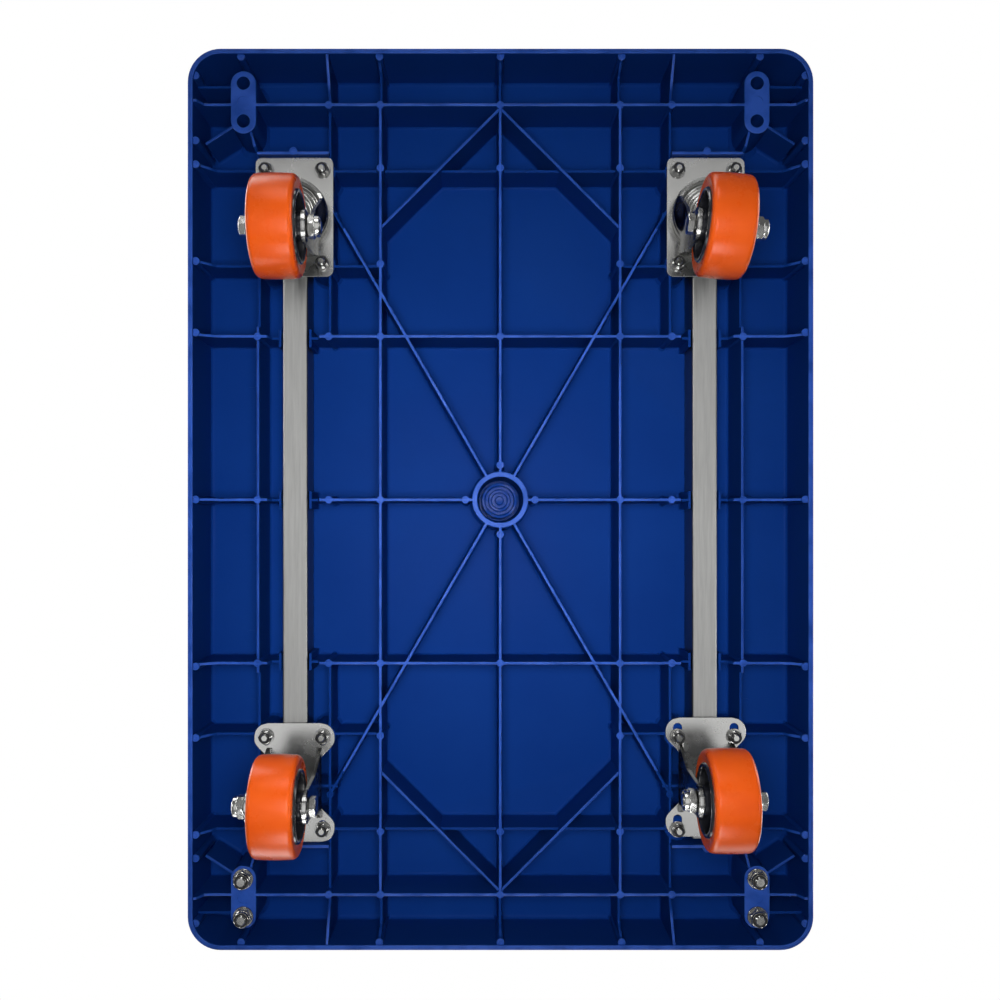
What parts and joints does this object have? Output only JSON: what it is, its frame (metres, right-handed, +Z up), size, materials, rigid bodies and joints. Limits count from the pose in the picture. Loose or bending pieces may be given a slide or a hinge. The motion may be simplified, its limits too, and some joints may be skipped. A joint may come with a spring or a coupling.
{
  "type": "folding platform cart",
  "caption": "Ribbed plastic platform on swivel and rigid casters, with steel rails under it and a tubular push handle that folds down.",
  "frame": {"origin": "on the ground, under the middle of the deck", "axes": "+Z up, +Y to the front end with the swivel casters, +X to the right of the person who pushes"},
  "size_m": [0.49, 0.706, 0.8428],
  "materials": {
    "deck_blue": "semi-gloss moulded polypropylene",
    "rail_steel": "drawn galvanised tube",
    "caster_steel": "satin zinc-plated pressing",
    "fastener_steel": "bright zinc plating",
    "tyre_orange": "glossy polyurethane",
    "hub_black": "glossy nylon",
    "handle_steel": "polished plated tube",
    "grip_black": "matt moulded rubber",
    "spring_steel": "oiled steel"
  },
  "bodies": {
    "deck": {"deck": "deck_blue", "rail_left": "rail_steel", "swivel_plate_left": "caster_steel", "kingpin_left": "fastener_steel", "rigid_bracket_left": "caster_steel", "hinge_bracket_left": "caster_steel", "pivot_bolt_left": "fastener_steel", "pedal_spring_left": "spring_steel", "caster_bolt_front_left_1": "fastener_steel", "caster_bolt_front_left_2": "fastener_steel", "caster_bolt_front_left_3": "fastener_steel", "caster_bolt_front_left_4": "fastener_steel", "axle_bolt_rear_left": "fastener_steel", "axle_nut_rear_left": "fastener_steel", "caster_bolt_rear_left_1": "fastener_steel", "caster_bolt_rear_left_2": "fastener_steel", "caster_bolt_rear_left_3": "fastener_steel", "caster_bolt_rear_left_4": "fastener_steel", "handle_bolt_left_1": "fastener_steel", "handle_bolt_left_2": "fastener_steel", "rail_right": "rail_steel", "swivel_plate_right": "caster_steel", "kingpin_right": "fastener_steel", "rigid_bracket_right": "caster_steel", "hinge_bracket_right": "caster_steel", "pivot_bolt_right": "fastener_steel", "pedal_spring_right": "spring_steel", "caster_bolt_front_right_1": "fastener_steel", "caster_bolt_front_right_2": "fastener_steel", "caster_bolt_front_right_3": "fastener_steel", "caster_bolt_front_right_4": "fastener_steel", "axle_bolt_rear_right": "fastener_steel", "axle_nut_rear_right": "fastener_steel", "caster_bolt_rear_right_1": "fastener_steel", "caster_bolt_rear_right_2": "fastener_steel", "caster_bolt_rear_right_3": "fastener_steel", "caster_bolt_rear_right_4": "fastener_steel", "handle_bolt_right_1": "fastener_steel", "handle_bolt_right_2": "fastener_steel"},
    "handle": {"handle_tube": "handle_steel", "handle_crossbar": "handle_steel", "handle_grip": "grip_black"},
    "latch": {"latch_bar": "fastener_steel", "foot_pedal": "grip_black"},
    "swivel_left": {"fork_left": "caster_steel", "ball_ring_left": "spring_steel", "axle_bolt_front_left": "fastener_steel", "axle_nut_front_left": "fastener_steel"},
    "swivel_right": {"fork_right": "caster_steel", "ball_ring_right": "spring_steel", "axle_bolt_front_right": "fastener_steel", "axle_nut_front_right": "fastener_steel"},
    "wheel_front_left": {"tyre_front_left": "tyre_orange", "wheel_hub_front_left": "hub_black"},
    "wheel_front_right": {"tyre_front_right": "tyre_orange", "wheel_hub_front_right": "hub_black"},
    "wheel_rear_left": {"tyre_rear_left": "tyre_orange", "wheel_hub_rear_left": "hub_black"},
    "wheel_rear_right": {"tyre_rear_right": "tyre_orange", "wheel_hub_rear_right": "hub_black"}
  },
  "joints": [
    {"name": "handle_fold", "type": "hinge", "parent": "deck", "child": "handle", "pos_m": [0, -0.315, 0.177], "axis": [-1, 0, 0], "range_deg": [0, 91.5]},
    {"name": "pedal_press", "type": "hinge", "parent": "deck", "child": "latch", "pos_m": [0, -0.343, 0.165], "axis": [-1, 0, 0], "range_deg": [0, 12], "stiffness_Nm_per_rad": 1, "springref_deg": -17.19},
    {"name": "caster_swivel_left", "type": "hinge", "parent": "deck", "child": "swivel_left", "pos_m": [-0.164, 0.2255, 0.1], "axis": [0, 0, 1], "continuous": true},
    {"name": "caster_swivel_right", "type": "hinge", "parent": "deck", "child": "swivel_right", "pos_m": [0.164, 0.2255, 0.1], "axis": [0, 0, 1], "continuous": true},
    {"name": "wheel_spin_front_left", "type": "hinge", "parent": "swivel_left", "child": "wheel_front_left", "pos_m": [-0.16185, 0.19758, 0.0375], "axis": [0.9971, 0.0767, 0], "continuous": true},
    {"name": "wheel_spin_front_right", "type": "hinge", "parent": "swivel_right", "child": "wheel_front_right", "pos_m": [0.164, 0.1975, 0.0375], "axis": [1, 0, 0], "continuous": true},
    {"name": "wheel_spin_rear_left", "type": "hinge", "parent": "deck", "child": "wheel_rear_left", "pos_m": [-0.164, -0.221, 0.0375], "axis": [1, 0, 0], "continuous": true},
    {"name": "wheel_spin_rear_right", "type": "hinge", "parent": "deck", "child": "wheel_rear_right", "pos_m": [0.164, -0.2255, 0.0375], "axis": [1, 0, 0], "continuous": true}
  ]
}
